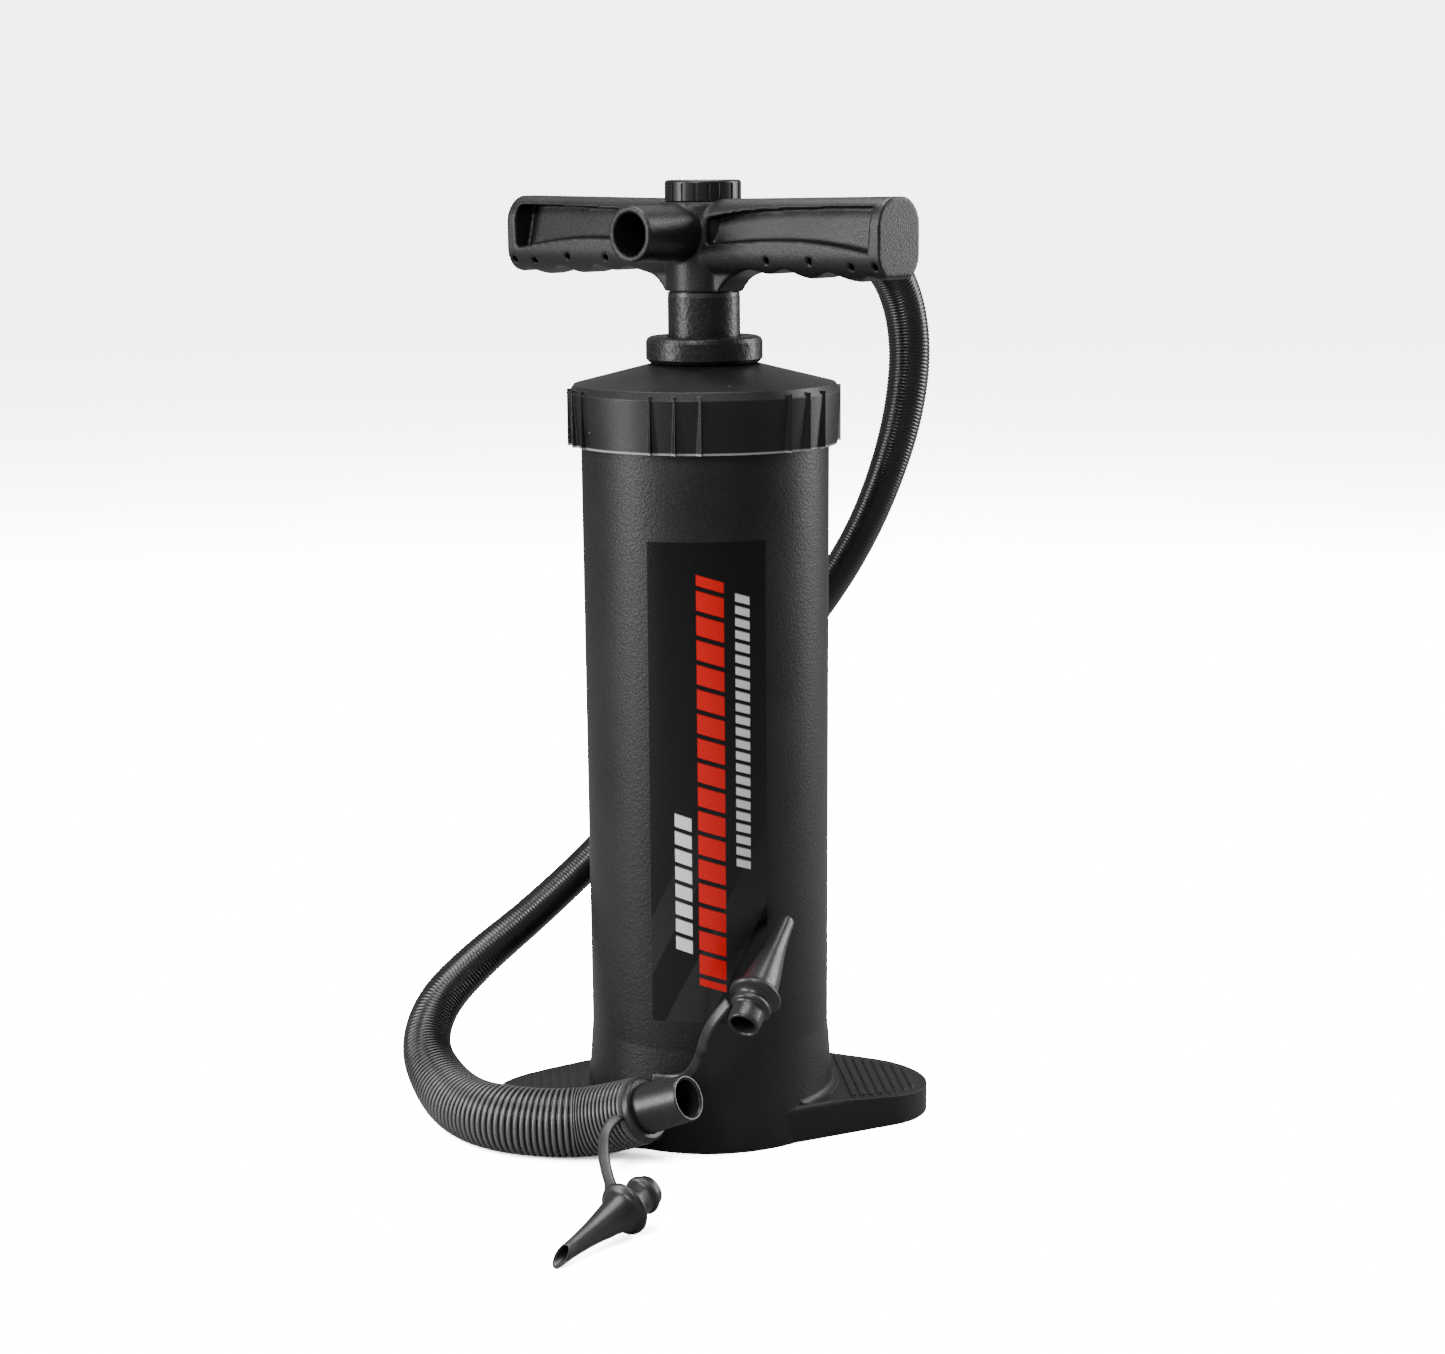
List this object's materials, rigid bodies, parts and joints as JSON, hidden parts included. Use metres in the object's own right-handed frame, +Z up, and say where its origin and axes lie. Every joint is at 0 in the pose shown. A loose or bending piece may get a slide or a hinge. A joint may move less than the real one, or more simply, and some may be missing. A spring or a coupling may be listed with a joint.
{
  "type": "double action hand pump",
  "caption": "Upright double action hand air pump with a T handle, air ports in the handle, ribbed screw cap, winged foot, corrugated hose and tethered cone nozzles.",
  "frame": {"origin": "on the floor, on the pump's axis, at the centre of the foot's underside", "axes": "+Z up along the barrel, +X along the foot's long wings, -Y towards the side with the printed panel"},
  "size_m": [0.2244, 0.2523, 0.368],
  "materials": {
    "black_textured_plastic": "fine leather grain, satin",
    "black_satin_plastic": "satin with a fine speckle",
    "black_handle_plastic": "fine spark-eroded grain, satin",
    "dark_satin_plastic": "smooth satin",
    "black_hose": "ribbed, semi-gloss",
    "black_rubber": "moulded, semi-matt",
    "natural_nylon": "plain moulded",
    "printed_film": "gloss printed film",
    "zinc_steel": "zinc plated"
  },
  "bodies": {
    "barrel": {"barrel": "black_textured_plastic", "label": "printed_film", "screw_cap": "black_satin_plastic", "guide_collar": "black_textured_plastic", "guide_bush": "natural_nylon", "rod_seal": "black_rubber", "cap_gasket": "black_rubber", "hose_lower": "black_hose", "hose_end_fitting": "dark_satin_plastic", "tether_ring": "black_rubber", "tether_strap_upper": "black_rubber", "tether_strap_lower": "black_rubber", "nozzle_round": "dark_satin_plastic", "nozzle_slant": "dark_satin_plastic"},
    "seal_ring": {"piston_seal": "black_rubber"},
    "plunger": {"piston_core": "natural_nylon", "piston_plate_upper": "natural_nylon", "piston_plate_lower": "natural_nylon", "upper_inlet_flap": "black_rubber", "upper_outlet_flap": "black_rubber", "lower_inlet_flap": "black_rubber", "lower_outlet_flap": "black_rubber", "piston_screws": "zinc_steel", "piston_rod": "black_textured_plastic", "inner_air_tube": "natural_nylon", "rod_plug": "natural_nylon", "handle": "black_handle_plastic", "handle_seal": "black_rubber", "knob_cap": "black_satin_plastic", "hose_cuff": "dark_satin_plastic", "hose_upper": "black_hose"}
  },
  "joints": [
    {"name": "pump_stroke", "type": "slide", "parent": "barrel", "child": "seal_ring", "axis": [0, 0, 1], "range_m": [0, 0.235]},
    {"name": "handle_turn", "type": "hinge", "parent": "seal_ring", "child": "plunger", "pos_m": [0, 0, 0.2], "axis": [0, 0, 1], "range_deg": [-60, 60], "deforming": ["hose_upper", "hose_lower"]}
  ]
}
